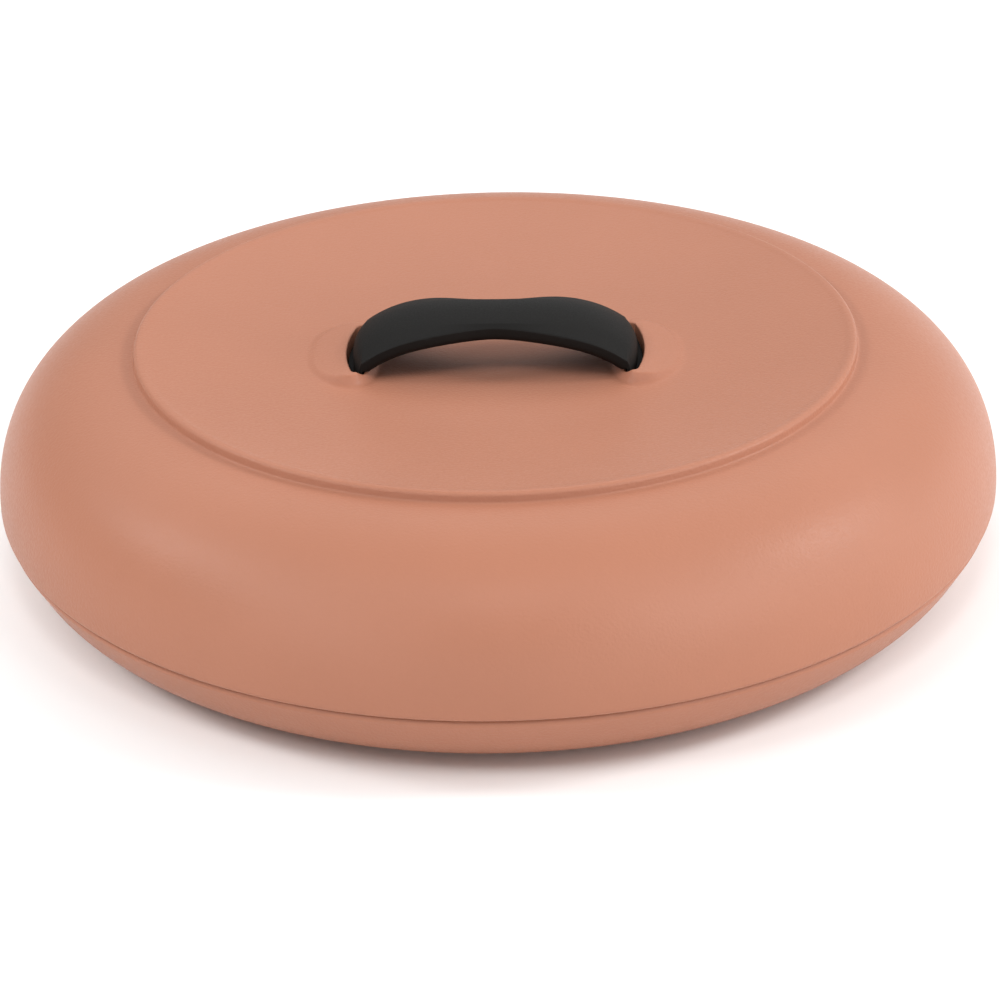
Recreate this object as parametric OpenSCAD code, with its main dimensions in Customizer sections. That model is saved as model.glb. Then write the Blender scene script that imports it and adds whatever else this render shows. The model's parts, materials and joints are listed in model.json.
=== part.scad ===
// Round tortilla warmer: a shallow base dish, a domed lid with a dished top,
// and a strap handle snapped into two pockets in the lid.
// Millimetres. The table is z = 0, the dish axis is Z and the handle runs along X.

/* [Overall] */
// Diameter across the lid's lower edge, its widest place
lid_d = 264; // [240:1:290]
// Height of the base dish's rim above the table
base_h = 19; // [17:0.5:26]

/* [Base dish] */
// Wall of the base dish
base_wall = 2.5; // [2:0.1:3]
// How far the lid's edge stands out past the base's rim
rim_inset = 1.0; // [0.5:0.1:2]
// Width of the flat land on top of the rim, from the outer face
rim_w = 3.1; // [2.8:0.1:3.6]
// Rounding on the outer corner of the rim
rim_round = 1.0; // [0.5:0.1:1.4]
// Depth of the leaning band below the rim, down to its lower edge
band_h = 8.4; // [6:0.2:10]
// How far the band leans in from rim to lower edge
band_lean = 3.8; // [2:0.1:5]
// Radius of the round underside below the band
belly_r = 22.5; // [20:0.5:30]
// Height of the foot ring
foot_h = 1.2; // [0.8:0.1:2]
// Width of the foot ring
foot_w = 4.5; // [3:0.5:8]

/* [Lid shell] */
// Wall of the lid
lid_wall = 2.5; // [2:0.1:3]
// Height of the lid's shoulder above the rim, where it meets the disc edge
shoulder_h = 36.9; // [35:0.1:40]
// Rounding under the lid's lower edge
skirt_round = 1.1; // [0.8:0.1:1.8]
// Length over which the side of the lid stays upright
side_reach = 25.2; // [22:0.2:29]
// Length over which the crown stays flat
crown_reach = 13.1; // [9:0.1:18]
// Slope of the crown where it meets the disc edge, in degrees
crown_slope = 2; // [0.5:0.5:5]

/* [Dished top] */
// Radius of the raised edge of the dished top
disc_r = 93.4; // [84:0.2:100]
// Width of the step and the hollow outside the raised edge, up to the shoulder
step_w = 6.1; // [5:0.1:8]
// Height of the raised edge above the shoulder
step_h = 3.0; // [2.6:0.1:3.6]
// Slope of the step's flank, in degrees
flank_angle = 82; // [72:1:84]
// Length of the step's straight flank
flank_run = 1.0; // [0.6:0.1:1.3]
// Rounding between the raised edge and the flank
cap_round = 1.1; // [0.8:0.1:1.3]
// Depth of the dished top at its centre, below its raised edge
dish_depth = 9.75; // [8.5:0.05:11]
// Radius of the sphere that shapes the dished top
dish_sphere_r = 455; // [420:5:500]
// Width of the rounding inside the raised edge
edge_w = 2.6; // [2:0.1:4]

/* [Locating lip] */
// How far the lid's lip reaches down into the base
lip_h = 3; // [2:0.2:5]
// Thickness of the lip
lip_w = 2; // [1.5:0.1:2.4]
// Clearance between the lip and the inside of the base
lip_play = 0.6; // [0.4:0.1:0.9]

/* [Handle strap] */
// Distance from the centre to the end face of the handle
handle_reach = 37.4; // [35.4:0.2:39]
// Height of the strap's upper edge lines above the rim of the base, at the middle
handle_h = 44.8; // [43.5:0.1:47]
// How far the upper edge lines drop towards the handle's ends
arch_drop = 8.9; // [7.8:0.1:9.6]
// Flatness of the arch in its middle
arch_power = 3.6; // [3:0.1:4.2]
// Half of the strap's width at its waist
waist_w = 9.3; // [8.8:0.1:11]
// Half of the strap's width at its ends
end_w = 14.1; // [12.5:0.1:15]
// Length over which the waist widens
waist_reach = 14.2; // [10:0.2:18]
// Half of the top face's width at the middle, between its two edge lines
top_w = 7.9; // [7:0.1:8.4]
// How much wider the top face is at the ends, on each side
top_flare = 1.6; // [0:0.1:2.6]
// Rise of the crowned top face above its edge lines
crown_h = 0.8; // [0.4:0.1:1.2]
// Height of the bevel below the edge line, at the middle
bevel_h = 0.8; // [0.5:0.1:1.2]
// How much higher the bevel is at the ends
bevel_flare = 0.65; // [0.3:0.05:1]
// Depth of the strap's belly below its widest line
belly_h = 4.2; // [3.6:0.1:4.8]
// Squareness of the belly: 2 is an ellipse
belly_square = 5; // [3:0.5:6]
// Rounding where the top face turns down to the end face
end_round = 2.2; // [1.4:0.1:2.5]
// Radius of the end face, seen from above
end_face_r = 50; // [45:1:60]
// Thickness of the leg at each end of the strap
leg_t = 3.0; // [2.8:0.1:3.3]

/* [Handle mounds and pockets] */
// Play between the strap's underside and the slope of the mound below it
strap_play = 0.4; // [0.35:0.05:0.6]
// Play between the leg and the pocket's inner wall
pocket_play_in = 0.5; // [0.4:0.1:0.8]
// Play between the handle's foot and the pocket's walls
foot_play = 0.4; // [0.35:0.05:0.6]
// Thickness of the handle's foot on the pocket's floor
foot_t = 3.0; // [2.4:0.1:4]
// Play between the end face and the pocket's outer wall
pocket_play_out = 1.7; // [1.2:0.1:2]
// Play between the leg's sides and the pocket's ends
pocket_play_side = 0.7; // [0.6:0.1:1]
// Radius of the pocket's outer wall, seen from above
pocket_arc_r = 50; // [46:1:56]
// Rounding of the pocket's upright corners
pocket_corner = 1.4; // [1.1:0.1:1.5]
// Depth of the pocket below the top of its mound
pocket_depth = 6.2; // [5.6:0.1:7]
// Wall of the pocket where it hangs below the lid
pocket_wall = 1.8; // [1.5:0.1:2.4]
// Width of the mound outside the pocket's outer wall
mound_run = 10.6; // [8:0.2:13]
// Distance from the pocket's inner wall inwards to where the mound starts to rise
mound_lead = 3.9; // [3:0.1:5]
// Distance from the pocket's outer wall inwards to where the mound's flat top ends
mound_flat = 3.4; // [3:0.1:4]
// Width of the mound past each end of the pocket
mound_rim = 4.0; // [2.5:0.1:5]
// Height of the mound above the dished top at the pocket's outer wall
mound_rise = 2.8; // [2.2:0.1:3.2]
// Height that is left at the mound's outer tip
mound_tip_rise = 0.15; // [0.1:0.05:0.3]

/* [Snap tines] */
// Distance of each snap tine from the handle's centre line
tine_y = 8; // [6:0.5:9]
// Width of a tine
tine_w = 5; // [4:0.5:6]
// Thickness of a tine
tine_t = 1.8; // [1.5:0.1:2]
// Clearance around a tine in its hole
tine_play = 0.3; // [0.2:0.05:0.5]
// How far a barb stands out from its tine
barb_out = 0.9; // [0.6:0.1:1.2]
// Length of a barb
barb_l = 3.2; // [2.4:0.2:4]

/* [Hidden] */
$fn = 180;
shell_colour = [0.80, 0.56, 0.46];
handle_colour = [0.10, 0.10, 0.10];
// Overlap of joined shapes, and how far a cut runs past a face
spare = 1;

// Base dish
lid_r = lid_d / 2;
rim_r = lid_r - rim_inset;
land_in_r = rim_r - rim_w;
crease_r = rim_r - band_lean;
crease_z = base_h - band_h;
belly_angle = acos(1 - crease_z / belly_r);
foot_r = crease_r - belly_r * sin(belly_angle);
floor_z = foot_h + base_wall;
inner_belly_r = belly_r - base_wall;
inner_belly_top = 90 - belly_angle;
inner_belly_start = asin((belly_r - floor_z) / inner_belly_r);
inner_crease_r = foot_r + inner_belly_r * cos(inner_belly_top);
inner_crease_z = belly_r - inner_belly_r * sin(inner_belly_top);
rim_inner_cut = 0.4;
// The underside starts a little way round its arc, so the foot keeps its outer corner
belly_start = belly_angle / 8;

// Lid shell
shoulder_r = disc_r + step_w;
shoulder_z = base_h + shoulder_h;
skirt_top = base_h + skirt_round;
edge_z = shoulder_z + step_h;
dish_z0 = edge_z - dish_depth;
dish_cz = dish_z0 + dish_sphere_r;
lip_out_r = land_in_r - lip_play;
skirt_floor_z = base_h + lid_wall;
// Shares of the step's and the edge rounding's width that shape their curves
step_foot = 0.69;
step_head = 0.13;
edge_bend = 0.42;
// Inner edge of the dished top's underside, in from the raised edge, in walls
under_step = 1.6;

// Pockets and mounds
leg_in = handle_reach - leg_t;
pocket_in_x = leg_in - pocket_play_in;
pocket_out_r = handle_reach + pocket_play_out;
pocket_half = end_w + pocket_play_side;
mound_tip = pocket_out_r + mound_run;
mound_start = pocket_in_x - mound_lead;
mound_mid = handle_reach + 0.5;
mound_half = pocket_half + mound_rim;
mound_top = dish_z(pocket_out_r) + mound_rise;
pocket_floor = mound_top - pocket_depth;
cup_bottom = pocket_floor - pocket_wall;
cup_top = dish_z(pocket_in_x) - lid_wall / 2;
// Fullness of the mound's oval: 1 is an ellipse, less is fuller
oval_power = 0.92;
// How far the mound's roof starts below the dished top
roof_dip = 0.3;

// Handle
end_bow = pow(end_w, 2) / (2 * end_face_r);
arch_z = base_h + handle_h;
tine_x = (pocket_in_x + pocket_out_r - end_bow) / 2;
tine_gap = 0.2;
belly_steps = 16;
// Distance over which the belly steps down to the leg
leg_step = 0.1;
// Shares of the bevel's width, and of the end rounding, at which the strap is sampled
bevel_shares = [0, 0.4, 0.7, 0.88, 0.96, 1];
round_shares = [0, 0.5, 0.85, 1];

// A power that keeps the sign of its base
function power(v, e) = sign(v) * pow(abs(v), e);

// Height of the dished top's outer and inner surface at a radius
function dish_z(r) = dish_cz - sqrt(pow(dish_sphere_r, 2) - r * r);
function dish_in_z(r) = dish_cz - sqrt(pow(dish_sphere_r + lid_wall, 2) - r * r);

// Radius of the base dish's inner wall at a height, along the leaning band
function band_in_r(z) =
    land_in_r + (inner_crease_r - land_in_r) * (base_h - z) / (base_h - inner_crease_z);

// Points along an arc, and along a cubic curve with four control points
function arc(c, r, from, to, steps) =
    [for (i = [0:steps]) let (a = from + (to - from) * i / steps) c + r * [cos(a), sin(a)]];
function curve(p, steps) =
    [for (i = [0:steps]) let (t = i / steps, u = 1 - t)
        u * u * u * p[0] + 3 * u * u * t * p[1] + 3 * u * t * t * p[2] + t * t * t * p[3]];

// Outline of the base dish from the axis, along the outside and back along the inside
function base_outline() = concat(
    [[0, foot_h], [foot_r - foot_w - foot_h, foot_h], [foot_r - foot_w, 0], [foot_r, 0]],
    arc([foot_r, belly_r], belly_r, -90 + belly_start, -90 + belly_angle, 10),
    arc([rim_r - rim_round, base_h - rim_round], rim_round, -atan(band_lean / band_h), 90, 6),
    [[land_in_r + rim_inner_cut, base_h], [land_in_r, base_h - rim_inner_cut]],
    arc([foot_r, belly_r], inner_belly_r, -inner_belly_top, -inner_belly_start, 9),
    [[0, floor_z]]);

// Outline of the lid from the lip, up the outside to the axis and back along the inside
function lid_outline() =
    let (side = [lid_r, skirt_top],
        crown = [shoulder_r, shoulder_z],
        slope = [cos(crown_slope), -sin(crown_slope)],
        ridge = [disc_r, edge_z],
        flank = [cos(flank_angle), -sin(flank_angle)],
        foot = ridge + cap_round * [sin(flank_angle), cos(flank_angle) - 1] + flank_run * flank,
        edge_r = disc_r - edge_w,
        rise = asin(edge_r / dish_sphere_r),
        dish_edge = [edge_r, dish_z(edge_r)],
        inner_side = [lid_r - lid_wall, skirt_floor_z + lid_wall + lip_w],
        inner_crown = crown - lid_wall * [sin(crown_slope), cos(crown_slope)],
        lip_low = [band_in_r(base_h - lip_h) - lip_play, base_h - lip_h])
    concat(
        [[lip_out_r, base_h]],
        arc([lid_r - skirt_round, skirt_top], skirt_round, -90, 0, 6),
        curve([side, side + [0, side_reach], crown + slope * crown_reach, crown], 22),
        curve([crown, crown - slope * step_w * step_foot, foot + flank * step_w * step_head, foot], 8),
        arc(ridge - [0, cap_round], cap_round, 90 - flank_angle, 90, 5),
        curve([ridge, ridge - [edge_w * edge_bend, 0],
            dish_edge + edge_w * edge_bend * [cos(rise), sin(rise)], dish_edge], 5),
        [for (i = [9:-1:0]) [edge_r * i / 10, dish_z(edge_r * i / 10)]],
        [for (i = [0:9]) let (r = (disc_r - lid_wall * under_step) * i / 9) [r, dish_in_z(r)]],
        curve([inner_crown, inner_crown + slope * crown_reach,
            [inner_side[0], skirt_top + side_reach], inner_side], 16),
        [[lip_out_r - lip_w, skirt_floor_z], lip_low - [lip_w, 0], lip_low]);

// Flat outline of a pocket grown by a distance: an arc outside, straight ends and inner side
function pocket_outline(grow) =
    let (r = pocket_arc_r + grow,
        mid_x = pocket_out_r - pocket_arc_r,
        corner = pocket_corner + grow,
        side = pocket_half + grow,
        in_x = pocket_in_x - grow,
        turn = asin((side - corner) / (r - corner)),
        out_x = mid_x + (r - corner) * cos(turn))
    concat(
        arc([mid_x, 0], r, -turn, turn, 12),
        arc([out_x, side - corner], corner, turn + (90 - turn) / 5, 90, 4),
        arc([in_x + corner, side - corner], corner, 90, 180, 5),
        arc([in_x + corner, corner - side], corner, 180, 270, 5),
        arc([out_x, corner - side], corner, 270, 360 - turn - (90 - turn) / 5, 4));

// Flat oval of the mound, wider outside its middle than inside
function mound_oval() =
    [for (i = [0:47])
        let (a = i * 7.5, reach = cos(a) > 0 ? mound_tip - mound_mid : mound_mid - mound_start)
        [mound_mid + reach * power(cos(a), oval_power), mound_half * power(sin(a), oval_power)]];

// Inner lower and upper end of the mound's roof, and its height at a distance from the middle
function roof_low() = [mound_start - spare, dish_z(mound_start - spare) - roof_dip];
function roof_high() = [pocket_out_r - mound_flat, mound_top];
function roof_z(x) =
    let (low = roof_low(), high = roof_high())
    min(mound_top, low[1] + (high[1] - low[1]) * (x - low[0]) / (high[0] - low[0]));

// Raised mound outside one pocket, its top sloping down to the dished top on both sides
module mound() {
    low = dish_z(mound_start) - lid_wall;
    near = mound_start - spare;
    far = mound_tip + spare;
    intersection() {
        translate([0, 0, low]) linear_extrude(mound_top + spare - low) polygon(mound_oval());
        rotate([90, 0, 0]) linear_extrude(2 * mound_half + 2 * spare, center = true) polygon([
            [near, dish_z(near) - lid_wall / 2],
            roof_low(),
            roof_high(),
            [pocket_out_r, mound_top],
            [far, dish_z(far) + mound_tip_rise],
            [far, dish_z(far) - lid_wall / 2]]);
    }
}

// Cup that hangs below the lid around one pocket
module pocket_cup() {
    translate([0, 0, cup_bottom]) linear_extrude(cup_top - cup_bottom)
        polygon(pocket_outline(pocket_wall));
}

// Space of one pocket, with a hole in its floor for each tine
module pocket_space() {
    translate([0, 0, pocket_floor]) linear_extrude(pocket_depth + spare)
        polygon(pocket_outline(0));
    for (y = [-tine_y, tine_y])
        translate([tine_x, y, cup_bottom])
            cube([tine_t + 2 * tine_play, tine_w + 2 * tine_play, 4 * pocket_wall], center = true);
}

// Half widths of the strap and of its top face at a distance from the middle
function strap_half(x) = end_w - (end_w - waist_w) * exp(-pow(x / waist_reach, 2));
function top_half(x) = top_w + top_flare * pow(abs(x) / handle_reach, 1.3);

// Height of the strap's edge lines, and how much an upright section grows with their slope
function edge_line_z(x) =
    let (over = max(0, abs(x) - handle_reach + end_round))
    arch_z - arch_drop * pow(abs(x) / handle_reach, arch_power)
        - end_round + sqrt(pow(end_round, 2) - over * over);
function stretch(x) =
    norm([1, arch_drop * arch_power * pow(abs(x) / handle_reach, arch_power - 1) / handle_reach]);

// Points of one upright section: over the top from +Y to -Y, then back along the belly.
// From the leg's inner side outwards the underside runs down into the foot.
function strap_ring(x) =
    let (half = strap_half(x),
        top = top_half(x),
        z = edge_line_z(x),
        grown = stretch(x),
        drop = (bevel_h + bevel_flare * abs(x) / handle_reach) * grown,
        foot = abs(x) >= leg_in,
        bow = sign(x) * max(0, abs(x) - leg_in) / leg_t / (2 * end_face_r),
        side = [for (s = bevel_shares) [top + (half - top) * s, z - drop * s]],
        face = [for (k = [3:-1:0]) [top * k / 4, z + crown_h * grown * (1 - k * k / 16)]],
        over = concat([for (i = [len(side) - 1:-1:0]) side[i]], face),
        all_over = concat(over, [for (i = [len(over) - 2:-1:0]) [-over[i][0], over[i][1]]]),
        under = [for (i = [len(all_over) - 2:-1:1])
            let (y = all_over[i][0])
            [y, foot ? pocket_floor + foot_t / 2
                : max(roof_z(abs(x)) + strap_play,
                    z - drop - belly_h * grown * pow(1 - pow(abs(y) / half, belly_square), 1 / belly_square))]])
    [for (p = concat(all_over, under)) [x - bow * p[0] * p[0], p[0], p[1]]];

// Places of the sections, from the middle to one end
function strap_places() = concat(
    [for (i = [0:belly_steps]) (leg_in - leg_step) * i / belly_steps],
    [leg_in, (leg_in + handle_reach - end_round) / 2],
    [for (s = round_shares) handle_reach - end_round * (1 - s)]);

module strap() {
    places = strap_places();
    last = 2 * len(places) - 2;
    rings = concat(
        [for (i = [len(places) - 1:-1:1]) strap_ring(-places[i])],
        [for (x = places) strap_ring(x)]);
    n = len(rings[0]);
    mid = n / 2;
    polyhedron(
        points = [for (ring = rings) each ring],
        faces = concat(
            [[0, 1, n - 1], [mid - 1, mid, mid + 1]],
            [for (j = [1:mid - 2]) [j, j + 1, n - j - 1, n - j]],
            [for (k = [0:last - 1]) for (i = [0:n - 1])
                let (j = (i + 1) % n)
                [k * n + i, (k + 1) * n + i, (k + 1) * n + j, k * n + j]],
            [for (f = [[n - 1, 1, 0], [mid + 1, mid, mid - 1]]) [for (i = f) last * n + i]],
            [for (j = [1:mid - 2]) [for (i = [n - j, n - j - 1, j + 1, j]) last * n + i]]),
        convexity = 6);
}

// Foot that fills the floor of the right-hand pocket
module foot() {
    translate([0, 0, pocket_floor]) linear_extrude(foot_t)
        polygon(pocket_outline(-foot_play));
}

// One snap tine with its barb outward, below the right-hand pocket
module tine() {
    inner = tine_x - tine_t / 2;
    outer = tine_x + tine_t / 2;
    catch_z = cup_bottom - tine_gap;
    rotate([90, 0, 0]) linear_extrude(tine_w, center = true) polygon([
        [inner, pocket_floor + spare], [inner, catch_z - barb_l],
        [outer - tine_t / 3, catch_z - barb_l], [outer + barb_out, catch_z - barb_l / 3],
        [outer + barb_out, catch_z], [outer, catch_z], [outer, pocket_floor + spare]]);
}

module base_dish() {
    color(shell_colour) rotate_extrude() polygon(base_outline());
}

module lid() {
    color(shell_colour) difference() {
        union() {
            rotate_extrude() polygon(lid_outline());
            for (turn = [0, 180]) rotate(turn) {
                mound();
                pocket_cup();
            }
        }
        for (turn = [0, 180]) rotate(turn) pocket_space();
    }
}

module handle() {
    color(handle_colour) union() {
        strap();
        for (turn = [0, 180]) rotate(turn) {
            foot();
            for (y = [-tine_y, tine_y]) translate([0, y, 0]) tine();
        }
    }
}

base_dish();
lid();
handle();
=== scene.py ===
"""A round tortilla warmer in terracotta plastic with a black strap handle, around its CAD frame.

The pieces are finer meshes of the part's own solids, made by the same formulas in millimetres:
a dish, a lid with two softly raised mounds and a pocket in each, and a strap with snap tines.
"""

import json
import math

import bmesh
import bpy
from mathutils import Matrix, Vector
from mathutils.geometry import tessellate_polygon

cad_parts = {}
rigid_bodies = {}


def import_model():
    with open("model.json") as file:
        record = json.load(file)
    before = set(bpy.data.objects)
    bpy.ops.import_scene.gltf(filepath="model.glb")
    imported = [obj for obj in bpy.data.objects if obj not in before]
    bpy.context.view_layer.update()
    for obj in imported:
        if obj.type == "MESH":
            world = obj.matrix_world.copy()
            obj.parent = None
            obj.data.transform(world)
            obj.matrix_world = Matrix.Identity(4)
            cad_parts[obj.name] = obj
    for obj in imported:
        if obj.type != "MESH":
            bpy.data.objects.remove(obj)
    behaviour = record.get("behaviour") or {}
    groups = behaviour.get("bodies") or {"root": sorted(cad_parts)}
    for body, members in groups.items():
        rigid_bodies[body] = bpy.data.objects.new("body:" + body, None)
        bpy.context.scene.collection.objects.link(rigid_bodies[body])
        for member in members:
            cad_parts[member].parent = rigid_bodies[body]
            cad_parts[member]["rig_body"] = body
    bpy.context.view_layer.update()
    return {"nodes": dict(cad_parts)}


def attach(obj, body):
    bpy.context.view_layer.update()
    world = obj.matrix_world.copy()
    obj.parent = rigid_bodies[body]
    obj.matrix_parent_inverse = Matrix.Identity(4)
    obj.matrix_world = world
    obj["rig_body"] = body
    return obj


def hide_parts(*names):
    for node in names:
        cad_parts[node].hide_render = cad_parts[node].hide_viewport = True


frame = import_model()
MM = 0.001

# Sizes of the part's source, in millimetres
BASE_H = 19.0
LID_R = 132.0
WALL = 2.5
RIM_INSET = 1.0
RIM_W = 3.1
BAND_H = 8.4
BAND_LEAN = 3.8
BELLY_R = 22.5
FOOT_H = 1.2
FOOT_W = 4.5
SHOULDER_H = 36.9
SIDE_REACH = 25.2
CROWN_REACH = 13.1
CROWN_SLOPE = 2.0
DISC_R = 93.4
STEP_W = 6.1
STEP_H = 3.0
FLANK_ANGLE = 82.0
FLANK_RUN = 1.0
CAP_ROUND = 1.1
DISH_DEPTH = 9.75
DISH_SPHERE_R = 455.0
EDGE_W = 2.6
STEP_FOOT = 0.69
STEP_HEAD = 0.13
EDGE_BEND = 0.42
UNDER_STEP = 1.6
LIP_H = 3.0
LIP_W = 2.0
LIP_PLAY = 0.6
HANDLE_REACH = 37.4
ARCH_H = 44.8
ARCH_DROP = 8.9
ARCH_POWER = 3.6
WAIST_W = 9.3
END_W = 14.1
WAIST_REACH = 14.2
TOP_W = 7.9
TOP_FLARE = 1.6
CROWN_H = 0.8
BEVEL_H = 0.8
BEVEL_FLARE = 0.65
BELLY_H = 4.2
BELLY_SQUARE = 5.0
END_ROUND = 2.2
END_FACE_R = 50.0
LEG_T = 3.0
POCKET_PLAY_IN = 0.5
POCKET_PLAY_OUT = 1.7
POCKET_PLAY_SIDE = 0.7
POCKET_ARC_R = 50.0
POCKET_CORNER = 1.4
POCKET_DEPTH = 6.2
FOOT_PLAY = 0.4
FOOT_T = 3.0
POCKET_WALL = 1.8
MOUND_RUN = 10.6
MOUND_LEAD = 3.9
MOUND_FLAT = 3.4
MOUND_RIM = 4.0
MOUND_RISE = 2.8
MOUND_TIP_RISE = 0.15
MOUND_SHIFT = 0.5
MOUND_SQUARE = 0.92
ROOF_DIP = 0.3
ROOF_LAP = 1
ROOF_RUN = 9
STRAP_PLAY = 0.4
TINE_Y = 8.0
TINE_W = 5.0
TINE_T = 1.8
TINE_PLAY = 0.3
TINE_GAP = 0.2
BARB_OUT = 0.9
BARB_L = 3.2

# Roundings above and below the seam, 0.3 wider than the source's, so that the seam reads as in the photograph
RIM_ROUND = 1.3
SKIRT_ROUND = 1.4

# Rounding of the strap's long creases, in the middle and what the ends add
CREASE_SOFT = 0.05
CREASE_SOFTER = 0.5

# How far outside and inside their outline the mounds fade into the dished top
MOUND_FADE_OUT = 0.8
MOUND_FADE_IN = 2.2

# Sizes that follow from those
RIM_R = LID_R - RIM_INSET
LAND_IN_R = RIM_R - RIM_W
SHOULDER_Z = BASE_H + SHOULDER_H
ARCH_Z = BASE_H + ARCH_H
LEG_IN = HANDLE_REACH - LEG_T
POCKET_IN_X = LEG_IN - POCKET_PLAY_IN
POCKET_OUT_R = HANDLE_REACH + POCKET_PLAY_OUT
POCKET_HALF = END_W + POCKET_PLAY_SIDE
CREASE_R = RIM_R - BAND_LEAN
CREASE_Z = BASE_H - BAND_H
BELLY_ANGLE = math.degrees(math.acos(1 - CREASE_Z / BELLY_R))
FOOT_R = CREASE_R - BELLY_R * math.sin(math.radians(BELLY_ANGLE))
FLOOR_Z = FOOT_H + WALL
INNER_BELLY_R = BELLY_R - WALL
INNER_TOP = 90 - BELLY_ANGLE
INNER_START = math.degrees(math.asin((BELLY_R - FLOOR_Z) / INNER_BELLY_R))
INNER_CREASE_R = FOOT_R + INNER_BELLY_R * math.cos(math.radians(INNER_TOP))
INNER_CREASE_Z = BELLY_R - INNER_BELLY_R * math.sin(math.radians(INNER_TOP))
SHOULDER_R = DISC_R + STEP_W
EDGE_Z = SHOULDER_Z + STEP_H
DISH_Z0 = EDGE_Z - DISH_DEPTH
DISH_CZ = DISH_Z0 + DISH_SPHERE_R
MOUND_TIP = POCKET_OUT_R + MOUND_RUN
MOUND_START = POCKET_IN_X - MOUND_LEAD
MOUND_MID = HANDLE_REACH + MOUND_SHIFT
MOUND_HALF = POCKET_HALF + MOUND_RIM
MOUND_POWER = 2 / MOUND_SQUARE
END_BOW = END_W**2 / (2 * END_FACE_R)
TINE_X = (POCKET_IN_X + POCKET_OUT_R - END_BOW) / 2

# Steps of the meshes
AROUND = 288
HALF_AROUND = AROUND // 2
ACROSS = 80

# Distance of the soft boxes from the point that they look at, and that point, in metres
LIGHT_AWAY = 1.6
LIGHT_AIM = (0, 0, 0.03)


def dish_z(r):
    """Height of the dished top's outer surface at a radius."""
    return DISH_CZ - math.sqrt(DISH_SPHERE_R**2 - r * r)


def dish_in_z(r):
    """Height of the dished top's inner surface at a radius."""
    return DISH_CZ - math.sqrt((DISH_SPHERE_R + WALL) ** 2 - r * r)


def arc(centre, radius, start, end, steps):
    """Points along an arc, with its angles in degrees."""
    angles = [math.radians(start + (end - start) * i / steps) for i in range(steps + 1)]
    return [(centre[0] + radius * math.cos(a), centre[1] + radius * math.sin(a)) for a in angles]


def curve(points, steps):
    """Points along a cubic curve with four control points."""
    made = []
    for i in range(steps + 1):
        t = i / steps
        u = 1 - t
        weights = (u**3, 3 * u * u * t, 3 * u * t * t, t**3)
        made.append(tuple(sum(w * p[k] for w, p in zip(weights, points)) for k in (0, 1)))
    return made


def smooth(value, low, high):
    """0 below low, 1 above high, and smooth in between."""
    t = min(1.0, max(0.0, (value - low) / (high - low)))
    return t * t * (3 - 2 * t)


class Shell:
    """Collects the vertices and faces of one closed mesh, in millimetres."""

    def __init__(self):
        self.points = []
        self.faces = []

    def add(self, points):
        start = len(self.points)
        self.points.extend(points)
        return list(range(start, len(self.points)))

    def ring(self, radius, z):
        """A full circle, from the -Y side and round through +X."""
        angles = [math.radians(-90 + 360 * j / AROUND) for j in range(AROUND)]
        return self.add([(radius * math.cos(a), radius * math.sin(a), z) for a in angles])

    def strip(self, first, second):
        """Four-sided faces between two closed rows."""
        count = len(first)
        for i in range(count):
            j = (i + 1) % count
            self.faces.append((first[i], first[j], second[j], second[i]))

    def strips(self, rows):
        for first, second in zip(rows, rows[1:]):
            self.strip(first, second)

    def fan(self, row, centre):
        tip = self.add([centre])[0]
        for i, a in enumerate(row):
            self.faces.append((a, row[(i + 1) % len(row)], tip))

    def plate(self, *loops):
        """A flat plate inside the first loop, with the other loops as holes in it."""
        corners = [[Vector(self.points[i]) for i in loop] for loop in loops]
        order = [i for loop in loops for i in loop]
        for a, b, c in tessellate_polygon(corners):
            self.faces.append((order[a], order[b], order[c]))

    def piece(self, name, node, material, sharp_angle=38):
        """The finished object, standing for its CAD node and riding on that node's body."""
        mesh = bpy.data.meshes.new(name)
        mesh.from_pydata([tuple(v * MM for v in p) for p in self.points], [], self.faces)
        work = bmesh.new()
        work.from_mesh(mesh)
        bmesh.ops.recalc_face_normals(work, faces=work.faces)
        work.to_mesh(mesh)
        work.free()
        mesh.shade_smooth()
        mesh.set_sharp_from_angle(angle=math.radians(sharp_angle))
        mesh.materials.append(material)
        made = bpy.data.objects.new(name, mesh)
        bpy.context.scene.collection.objects.link(made)
        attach(made, frame["nodes"][node]["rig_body"])
        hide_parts(node)
        return made


# Materials


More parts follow.
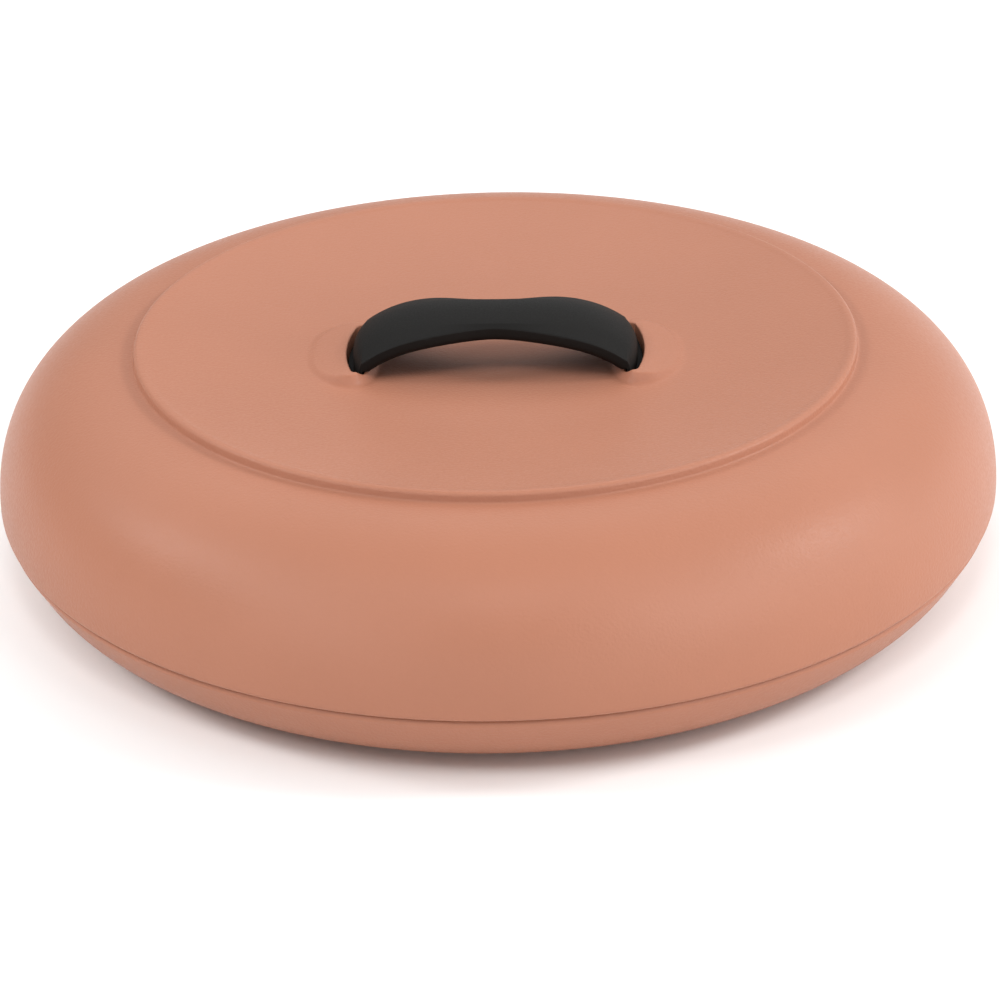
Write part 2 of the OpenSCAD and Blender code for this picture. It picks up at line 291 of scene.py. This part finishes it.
def grained_plastic(name, colour, colour_spread, specular, roughness, roughness_spread, grain, bump):
    """Moulded plastic with a fine matte grain: grain is its size and bump its height, in metres."""
    cloud_size = 0.05
    material = bpy.data.materials.new(name)
    material.use_nodes = True
    nodes = material.node_tree.nodes
    links = material.node_tree.links
    shader = nodes["Principled BSDF"]
    shader.inputs["Specular IOR Level"].default_value = specular
    place = nodes.new("ShaderNodeTexCoord")

    def noise(size, detail):
        made = nodes.new("ShaderNodeTexNoise")
        made.inputs["Scale"].default_value = 1 / size
        made.inputs["Detail"].default_value = detail
        links.new(place.outputs["Object"], made.inputs["Vector"])
        return made.outputs["Fac"]

    def ramp(source, low, high):
        made = nodes.new("ShaderNodeMapRange")
        made.inputs["From Min"].default_value = 0.3
        made.inputs["From Max"].default_value = 0.7
        made.inputs["To Min"].default_value = low
        made.inputs["To Max"].default_value = high
        links.new(source, made.inputs["Value"])
        return made.outputs["Result"]

    fine = noise(grain, 2)
    cloud = noise(cloud_size, 3)
    shade = nodes.new("ShaderNodeMix")
    shade.data_type = "RGBA"
    shade.inputs["A"].default_value = [c * (1 - colour_spread) for c in colour] + [1]
    shade.inputs["B"].default_value = [c * (1 + colour_spread) for c in colour] + [1]
    links.new(ramp(cloud, 0, 1), shade.inputs["Factor"])
    links.new(shade.outputs["Result"], shader.inputs["Base Color"])
    rough = ramp(fine, roughness - roughness_spread, roughness + roughness_spread)
    links.new(rough, shader.inputs["Roughness"])
    relief = nodes.new("ShaderNodeBump")
    relief.inputs["Strength"].default_value = 1.0
    relief.inputs["Distance"].default_value = bump
    links.new(fine, relief.inputs["Height"])
    links.new(relief.outputs["Normal"], shader.inputs["Normal"])
    return material


TERRACOTTA = grained_plastic(
    "terracotta_plastic",
    colour=(0.377, 0.16, 0.0996),
    colour_spread=0.02,
    specular=0.15,
    roughness=0.4,
    roughness_spread=0.06,
    grain=0.0008,
    bump=0.0001,
)
BLACK = grained_plastic(
    "black_plastic",
    colour=(0.0065, 0.006, 0.0055),
    colour_spread=0.05,
    specular=0.11,
    roughness=0.6,
    roughness_spread=0.05,
    grain=0.0004,
    bump=0.000012,
)


# Base dish


def base_outline():
    """Outline of the base dish from the axis, along the outside and back along the inside."""
    foot_round = 0.3
    land_round = 0.4
    collar = 6
    foot_in_r = FOOT_R - FOOT_W
    lean = math.degrees(math.atan(BAND_LEAN / BAND_H))
    outline = [(foot_in_r - FOOT_H - collar, FOOT_H), (foot_in_r - FOOT_H, FOOT_H), (foot_in_r, 0)]
    outline += [(foot_in_r + foot_round, 0), (FOOT_R, 0)]
    outline += arc((FOOT_R, BELLY_R), BELLY_R, -90 + BELLY_ANGLE / 8, -90 + BELLY_ANGLE, 24)
    outline += arc((RIM_R - RIM_ROUND, BASE_H - RIM_ROUND), RIM_ROUND, -lean, 90, 12)
    outline += arc((LAND_IN_R + land_round, BASE_H - land_round), land_round, 90, 180, 4)
    outline += arc((FOOT_R, BELLY_R), INNER_BELLY_R, -INNER_TOP, -INNER_START, 20)
    return outline


def make_base():
    shell = Shell()
    rows = [shell.ring(r, z) for r, z in base_outline()]
    shell.strips(rows)
    shell.fan(rows[0], (0, 0, FOOT_H))
    shell.fan(rows[-1], (0, 0, FLOOR_Z))
    return shell.piece("base_dish_shell", "base_dish", TERRACOTTA)


# Lid


def pocket_loop(grow):
    """A pocket's outline grown by a distance, from its -Y side and round its outer wall.

    Its first five parts have HALF_AROUND steps together and the others have ACROSS,
    as many as the two parts of the border that disc_half fills to.
    """
    arc_r = POCKET_ARC_R + grow
    mid_x = POCKET_OUT_R - POCKET_ARC_R
    corner = POCKET_CORNER + grow
    side = POCKET_HALF + grow
    in_x = POCKET_IN_X - grow
    turn = math.degrees(math.asin((side - corner) / (arc_r - corner)))
    out_x = mid_x + (arc_r - corner) * math.cos(math.radians(turn))
    half_x = (in_x + corner + out_x) / 2
    low = side - corner

    def line(start, end, steps):
        return [tuple(a + (b - a) * i / steps for a, b in zip(start, end)) for i in range(steps + 1)]

    parts = (
        line((half_x, -side), (out_x, -side), 4),
        arc((out_x, -low), corner, -90, -turn, 12),
        arc((mid_x, 0), arc_r, -turn, turn, HALF_AROUND - 32),
        arc((out_x, low), corner, turn, 90, 12),
        line((out_x, side), (half_x, side), 4),
        line((half_x, side), (in_x + corner, side), 4),
        arc((in_x + corner, low), corner, 90, 180, 10),
        line((in_x, low), (in_x, -low), ACROSS - 28),
        arc((in_x + corner, -low), corner, 180, 270, 10),
        line((in_x + corner, -side), (half_x, -side), 4),
    )
    return [p for part in parts for p in part[:-1]]


def mound_roof(x):
    """Height of a mound's sloping top above the table, along X."""
    top = dish_z(POCKET_OUT_R) + MOUND_RISE
    near = MOUND_START - ROOF_LAP
    tip = MOUND_TIP + ROOF_LAP
    places = (
        (near - ROOF_RUN, 0.0),
        (near, dish_z(near) - ROOF_DIP),
        (POCKET_OUT_R - MOUND_FLAT, top),
        (POCKET_OUT_R, top),
        (tip, dish_z(tip) + MOUND_TIP_RISE),
        (tip + ROOF_RUN, dish_z(tip + ROOF_RUN)),
    )
    for (x0, z0), (x1, z1) in zip(places, places[1:]):
        if x0 <= x <= x1:
            return z0 + (z1 - z0) * (x - x0) / (x1 - x0)
    return 0.0


def top_z(x, y):
    """Height of the lid's dished top with its two mounds."""
    dish = dish_z(math.hypot(x, y))
    x = abs(x)
    reach = MOUND_TIP - MOUND_MID if x > MOUND_MID else MOUND_MID - MOUND_START
    along = abs((x - MOUND_MID) / reach)
    across = abs(y / MOUND_HALF)
    out = (along**MOUND_POWER + across**MOUND_POWER) ** (1 / MOUND_POWER)
    inside = math.hypot(x - MOUND_MID, y) * (1 / max(out, 1e-6) - 1)
    rise = max(0.0, mound_roof(x) - dish)
    return dish + rise * smooth(inside, -MOUND_FADE_OUT, MOUND_FADE_IN)


def disc_half(shell, inner, ring, spine, side, height, steps, ease):
    """Fills one half of the disc between the row round its pocket and the disc's border.

    With a smaller ease more of its rows lie close to the pocket.
    """
    if side > 0:
        border = ring[: HALF_AROUND + 1] + spine[1:-1]
    else:
        border = ring[HALF_AROUND:] + ring[:1] + spine[-2:0:-1]
    start = [(shell.points[i][0], shell.points[i][1]) for i in inner]
    end = [(shell.points[i][0], shell.points[i][1]) for i in border]
    rows = [inner]
    for k in range(1, steps):
        t = k / steps
        g = ease * t + (1 - ease) * t**3
        places = [(a[0] + (b[0] - a[0]) * g, a[1] + (b[1] - a[1]) * g) for a, b in zip(start, end)]
        rows.append(shell.add([(x, y, height(x, y)) for x, y in places]))
    rows.append(border)
    shell.strips(rows)


def lid_outline():
    """Outline of the lid from its disc edge, down the outside, round the lip and up the inside."""
    slope = (math.cos(math.radians(CROWN_SLOPE)), -math.sin(math.radians(CROWN_SLOPE)))
    crown = (SHOULDER_R, SHOULDER_Z)
    ridge = (DISC_R, EDGE_Z)
    edge_r = DISC_R - EDGE_W
    dish_edge = (edge_r, dish_z(edge_r))
    rise = math.asin(edge_r / DISH_SPHERE_R)
    bend = EDGE_W * EDGE_BEND
    side_z = BASE_H + SKIRT_ROUND
    floor_z = BASE_H + WALL
    inner_crown = (SHOULDER_R + WALL * slope[1], SHOULDER_Z - WALL * slope[0])
    inner_side = (LID_R - WALL, floor_z + WALL + LIP_W)
    lip_out_r = LAND_IN_R - LIP_PLAY
    band_in = LAND_IN_R + (INNER_CREASE_R - LAND_IN_R) * LIP_H / (BASE_H - INNER_CREASE_Z)
    lip_low = (band_in - LIP_PLAY, BASE_H - LIP_H)
    run = STEP_W * STEP_FOOT
    head = STEP_W * STEP_HEAD
    steep = math.radians(FLANK_ANGLE)
    flank = (math.cos(steep), -math.sin(steep))
    foot = (DISC_R + CAP_ROUND * math.sin(steep) + FLANK_RUN * flank[0],
            EDGE_Z + CAP_ROUND * (math.cos(steep) - 1) + FLANK_RUN * flank[1])
    outline = curve([dish_edge, (edge_r + bend * math.cos(rise), dish_edge[1] + bend * math.sin(rise)),
                     (DISC_R - bend, EDGE_Z), ridge], 8)
    outline += arc((DISC_R, EDGE_Z - CAP_ROUND), CAP_ROUND, 90, 90 - FLANK_ANGLE, 12)[1:]
    outline += curve([foot, (foot[0] + flank[0] * head, foot[1] + flank[1] * head),
                      (crown[0] - slope[0] * run, crown[1] - slope[1] * run), crown], 20)
    outline += curve([crown, (crown[0] + slope[0] * CROWN_REACH, crown[1] + slope[1] * CROWN_REACH),
                      (LID_R, side_z + SIDE_REACH), (LID_R, side_z)], 56)[1:]
    outline += arc((LID_R - SKIRT_ROUND, side_z), SKIRT_ROUND, 0, -90, 10)[1:]
    outline += [(lip_out_r, BASE_H), lip_low, (lip_low[0] - LIP_W, lip_low[1]), (lip_out_r - LIP_W, floor_z)]
    outline += curve([inner_side, (inner_side[0], side_z + SIDE_REACH),
                      (inner_crown[0] + slope[0] * CROWN_REACH, inner_crown[1] + slope[1] * CROWN_REACH),
                      inner_crown], 30)
    inner_edge = DISC_R - WALL * UNDER_STEP
    outline.append((inner_edge, dish_in_z(inner_edge)))
    return outline


def tine_hole(shell, z, side):
    """Corner rows of the two holes that the tines pass through."""
    half_t = TINE_T / 2 + TINE_PLAY
    half_w = TINE_W / 2 + TINE_PLAY
    corners = ((-half_t, -half_w), (half_t, -half_w), (half_t, half_w), (-half_t, half_w))
    return [shell.add([(side * (TINE_X + x), side * (y0 + y), z) for x, y in corners])
            for y0 in (-TINE_Y, TINE_Y)]


def pocket(shell, side, ring, spine, low_ring, low_spine):
    """One half of the lid's top, with its mound, its pocket and the cup below."""
    soft = 0.4
    mound_top = dish_z(POCKET_OUT_R) + MOUND_RISE
    floor_z = mound_top - POCKET_DEPTH
    cup_z = floor_z - POCKET_WALL

    def row(grow, height):
        return shell.add([(side * x, side * y, height(x, y)) for x, y in pocket_loop(grow)])

    def rim(grow):
        drop = soft - math.sqrt(soft * soft - (soft - grow) ** 2)
        return row(grow, lambda x, y: top_z(x, y) - drop)

    def under_z(x, y):
        return dish_in_z(math.hypot(x, y))

    rims = [rim(soft * share) for share in (0, 0.04, 0.15, 0.33, 0.6, 1)]
    wall = row(0, lambda x, y: floor_z)
    shell.strips([wall] + rims)
    disc_half(shell, rims[-1], ring, spine, side, top_z, steps=56, ease=0.45)
    under = row(POCKET_WALL, under_z)
    cup = row(POCKET_WALL, lambda x, y: cup_z)
    shell.strips([under, cup])
    disc_half(shell, under, low_ring, low_spine, side, under_z, steps=18, ease=0.6)
    upper = tine_hole(shell, floor_z, side)
    lower = tine_hole(shell, cup_z, side)
    shell.plate(wall, *upper)
    shell.plate(cup, *lower)
    for a, b in zip(upper, lower):
        shell.strip(a, b)


def make_lid():
    shell = Shell()
    rows = [shell.ring(r, z) for r, z in lid_outline()]
    shell.strips(rows)
    edge_r = DISC_R - EDGE_W
    inner_edge = DISC_R - WALL * UNDER_STEP
    spines = []
    for ring, radius, height in ((rows[0], edge_r, dish_z), (rows[-1], inner_edge, dish_in_z)):
        places = [radius - 2 * radius * k / ACROSS for k in range(1, ACROSS)]
        spines.append([ring[HALF_AROUND]] + shell.add([(0, y, height(abs(y))) for y in places]) + [ring[0]])
    for side in (1, -1):
        pocket(shell, side, rows[0], spines[0], rows[-1], spines[1])
    return shell.piece("lid_shell", "lid", TERRACOTTA)


# Handle


def strap_half(x):
    return END_W - (END_W - WAIST_W) * math.exp(-((x / WAIST_REACH) ** 2))


def soft_max(a, b, soft):
    """The greater of two heights, rounded over where they cross."""
    gap = max(0.0, soft - abs(a - b)) / soft
    return max(a, b) + gap * gap * soft / 4


def strap_ring(x, foot_top):
    """One upright section: over the top from +Y to -Y, then back along the belly or the foot."""
    share = abs(x) / HANDLE_REACH
    half = strap_half(x)
    top = TOP_W + TOP_FLARE * share**1.3
    over = max(0.0, abs(x) - HANDLE_REACH + END_ROUND)
    end_drop = END_ROUND - math.sqrt(max(0.0, END_ROUND**2 - over * over))
    line_z = ARCH_Z - ARCH_DROP * share**ARCH_POWER - end_drop
    grown = math.hypot(1, ARCH_DROP * ARCH_POWER * share ** (ARCH_POWER - 1) / HANDLE_REACH)
    drop = (BEVEL_H + BEVEL_FLARE * share) * grown
    bow = math.copysign(max(0.0, abs(x) - LEG_IN), x) / LEG_T / (2 * END_FACE_R)
    edge_r = 0.3
    edge_fall = 0.7
    crease_w = 0.4
    crease_soft = CREASE_SOFT + CREASE_SOFTER * smooth(abs(x), 14, 34)

    def top_height(y):
        crown = CROWN_H * grown * (1 - (y / top) ** 2)
        bevel = -drop * (y - top) / (half - top)
        height = -soft_max(-crown, -bevel, crease_soft)
        into = max(0.0, y - half + edge_r)
        return line_z + height - edge_fall * (edge_r - math.sqrt(max(0.0, edge_r**2 - into * into)))

    def under_height(y):
        if foot_top is not None:
            return foot_top
        belly = BELLY_H * grown * max(0.0, 1 - (y / half) ** BELLY_SQUARE) ** (1 / BELLY_SQUARE)
        return max(line_z - drop - belly, mound_roof(abs(x)) + STRAP_PLAY)

    ys = [top * 0.92 * k / 10 for k in range(11)]
    ys += [top + crease_w * s for s in (-1, -0.5, -0.25, 0, 0.25, 0.5, 1)]
    ys += [top + crease_w + (half - top - crease_w - edge_r) * s for s in (0.25, 0.5, 0.75, 1)]
    ys += [half - edge_r * (1 - math.sin(math.radians(a))) for a in (20, 40, 57, 70, 80, 86)]
    right = [(y, top_height(y)) for y in ys]
    edge = (half, line_z - drop - edge_fall * edge_r)
    upper = [edge] + right[::-1]
    upper += [(-y, z) for y, z in upper[-2::-1]]
    under = [(y, under_height(abs(y))) for y, z in upper[-2:0:-1]]
    return [(x - bow * y * y, y, z) for y, z in upper + under]


def strap_places():
    """Places of the sections from the middle to one end, and whether each is above the foot."""
    steps = 60
    places = [((LEG_IN - 0.1) * i / steps, False) for i in range(steps + 1)]
    places += [(LEG_IN + (LEG_T - END_ROUND) * i / 4, True) for i in range(5)]
    places += [(HANDLE_REACH - END_ROUND * (1 - math.sin(math.radians(a))), True) for a in range(10, 91, 10)]
    return places


def tine_roots(shell, side, floor_z):
    """Two snap tines, and the rows where they leave the bottom of a foot."""
    catch_z = floor_z - POCKET_WALL - TINE_GAP
    inner = TINE_X - TINE_T / 2
    outer = TINE_X + TINE_T / 2
    section = [(inner, floor_z), (inner, catch_z - BARB_L), (outer - TINE_T / 3, catch_z - BARB_L),
               (outer + BARB_OUT, catch_z - BARB_L / 3), (outer + BARB_OUT, catch_z), (outer, catch_z),
               (outer, floor_z)]
    roots = []
    for y0 in (-TINE_Y, TINE_Y):
        near, far = [shell.add([(side * x, y0 + y, z) for x, z in section])
                     for y in (-TINE_W / 2, TINE_W / 2)]
        for i in range(len(section) - 1):
            shell.faces.append((near[i], near[i + 1], far[i + 1], far[i]))
        shell.plate(near)
        shell.plate(far)
        roots.append([near[0], near[-1], far[-1], far[0]])
    return roots


def make_handle():
    ledge = 0.2
    shell = Shell()
    floor_z = dish_z(POCKET_OUT_R) + MOUND_RISE - POCKET_DEPTH
    places = strap_places()
    places = [(-x, foot) for x, foot in places[:0:-1]] + places
    rows = [shell.add(strap_ring(x, floor_z + FOOT_T if foot else None)) for x, foot in places]
    count = len(rows[0])
    mid = count // 2
    for k, (first, second) in enumerate(zip(rows, rows[1:])):
        flat = places[k][1] and places[k + 1][1]
        for i in range(count):
            j = (i + 1) % count
            if flat and mid < i < count - 1:
                continue
            shell.faces.append((first[i], first[j], second[j], second[i]))
    for row in (rows[0], rows[-1]):
        shell.faces.append((row[0], row[1], row[-1]))
        shell.faces.append((row[mid - 1], row[mid], row[mid + 1]))
        for j in range(1, mid - 1):
            shell.faces.append((row[j], row[j + 1], row[count - j - 1], row[count - j]))
    legs = [row for row, (x, foot) in zip(rows, places) if foot]
    half = len(legs) // 2
    for side, leg in ((-1, legs[:half]), (1, legs[half:])):
        root = leg[0][mid + 1 :] + [row[-1] for row in leg[1:-1]]
        root += leg[-1][:mid:-1] + [row[mid + 1] for row in leg[-2:0:-1]]
        heights = (floor_z + FOOT_T, floor_z + FOOT_T, floor_z)
        grows = (-FOOT_PLAY - ledge, -FOOT_PLAY, -FOOT_PLAY)
        outline = [shell.add([(side * x, side * y, z) for x, y in pocket_loop(grow)])
                   for grow, z in zip(grows, heights)]
        shell.strips(outline)
        shell.plate(outline[0], root)
        shell.plate(outline[-1], *tine_roots(shell, side, floor_z))
    return shell.piece("handle_strap", "handle", BLACK, sharp_angle=50)


# Floor, lights and camera


def make_floor():
    material = bpy.data.materials.new("floor_white")
    material.use_nodes = True
    shader = material.node_tree.nodes["Principled BSDF"]
    shader.inputs["Base Color"].default_value = (0.9, 0.9, 0.9, 1)
    shader.inputs["Roughness"].default_value = 0.9
    mesh = bpy.data.meshes.new("floor")
    reach = 6.0
    corners = [(-reach, -reach, 0), (reach, -reach, 0), (reach, reach, 0), (-reach, reach, 0)]
    mesh.from_pydata(corners, [], [(0, 1, 2, 3)])
    mesh.materials.append(material)
    floor = bpy.data.objects.new("floor", mesh)
    bpy.context.scene.collection.objects.link(floor)


def soft_light(name, azimuth, elevation, size, power):
    """A square area light that looks at the object: azimuth 0 is towards the camera, 90 towards +X."""
    a, e = math.radians(azimuth), math.radians(elevation)
    away = Vector((math.sin(a) * math.cos(e), -math.cos(a) * math.cos(e), math.sin(e)))
    data = bpy.data.lights.new(name, "AREA")
    data.shape = "SQUARE"
    data.size = size
    data.energy = power
    light = bpy.data.objects.new(name, data)
    light.location = away * LIGHT_AWAY + Vector(LIGHT_AIM)
    light.rotation_euler = away.to_track_quat("Z", "Y").to_euler()
    bpy.context.scene.collection.objects.link(light)
    return light


def make_sky(bands):
    """A sky in soft bands: a height and a reach, then strengths towards the camera, +Y, -X and +X."""
    world = bpy.data.worlds.new("studio")
    world.use_nodes = True
    nodes = world.node_tree.nodes
    links = world.node_tree.links

    def calc(operation, *values, clamp=False):
        node = nodes.new("ShaderNodeMath")
        node.operation = operation
        node.use_clamp = clamp
        for socket, value in zip(node.inputs, values):
            if isinstance(value, (int, float)):
                socket.default_value = value
            else:
                links.new(value, socket)
        return node.outputs["Value"]

    place = nodes.new("ShaderNodeTexCoord")
    split = nodes.new("ShaderNodeSeparateXYZ")
    links.new(place.outputs["Generated"], split.inputs["Vector"])
    x, y, z = split.outputs
    total = None
    for height, reach, near, far, left, right in bands:
        away = calc("ABSOLUTE", calc("SUBTRACT", z, height))
        band = calc("SUBTRACT", 1.0, calc("DIVIDE", away, reach), clamp=True)
        level = calc("MULTIPLY_ADD", y, (far - near) / 2, (near + far + left + right) / 2)
        level = calc("MULTIPLY_ADD", x, (right - left) / 2, level)
        part = calc("MULTIPLY", band, level)
        total = part if total is None else calc("ADD", total, part)
    background = nodes["Background"]
    background.inputs["Color"].default_value = (1, 1, 1, 1)
    links.new(total, background.inputs["Strength"])
    bpy.context.scene.world = world


def make_lights():
    """Soft boxes and the sky, and two boxes that only add sheen."""
    make_sky((
        (0.0, 0.35, 1.74, 0.0, 0.0, 2.63),
        (0.7, 0.35, 0.0, 2.83, 0.0, 0.0),
    ))
    for name, azimuth, elevation, size, power in (
        ("front_left", -60, 38, 0.35, 3.5),
        ("left", -90, 38, 0.35, 7.34),
        ("right", 90, 38, 0.35, 8.03),
        ("high_front", 0, 58, 0.35, 4.55),
        ("high_front_right", 45, 58, 0.35, 1.6),
        ("high_front_left", -45, 58, 0.35, 1.76),
        ("low_right", 85, 25, 0.8, 7.1),
    ):
        soft_light(name, azimuth, elevation, size, power)
    for name, azimuth, elevation, size, power in (
        ("sheen_left", -38, 24, 0.9, 8.0),
        ("sheen_right", 46, 28, 0.9, 14.0),
    ):
        soft_light(name, azimuth, elevation, size, power).visible_diffuse = False


def make_camera():
    """The camera that was fitted to the photograph's outlines."""
    azimuth, elevation, roll = math.radians(1.5), math.radians(27.415), -0.0213
    target = Vector((0.00036, 0, 0.00817))
    distance = 0.8
    back = Vector((math.sin(azimuth) * math.cos(elevation),
                   -math.cos(azimuth) * math.cos(elevation),
                   math.sin(elevation)))
    right = Vector((math.cos(azimuth), math.sin(azimuth), 0))
    up = back.cross(right)
    turned_right = math.cos(roll) * right + math.sin(roll) * up
    turned_up = math.cos(roll) * up - math.sin(roll) * right
    data = bpy.data.cameras.new("camera")
    data.sensor_width = 36
    data.lens = 106.64
    data.clip_start = 0.05
    data.clip_end = 50
    camera = bpy.data.objects.new("camera", data)
    axes = Matrix((turned_right, turned_up, back)).transposed().to_4x4()
    camera.matrix_world = Matrix.Translation(target + back * distance) @ axes
    bpy.context.scene.collection.objects.link(camera)
    bpy.context.scene.camera = camera


make_camera()
make_lights()
make_floor()
make_base()
make_lid()
make_handle()
bpy.context.scene.view_settings.view_transform = "Standard"
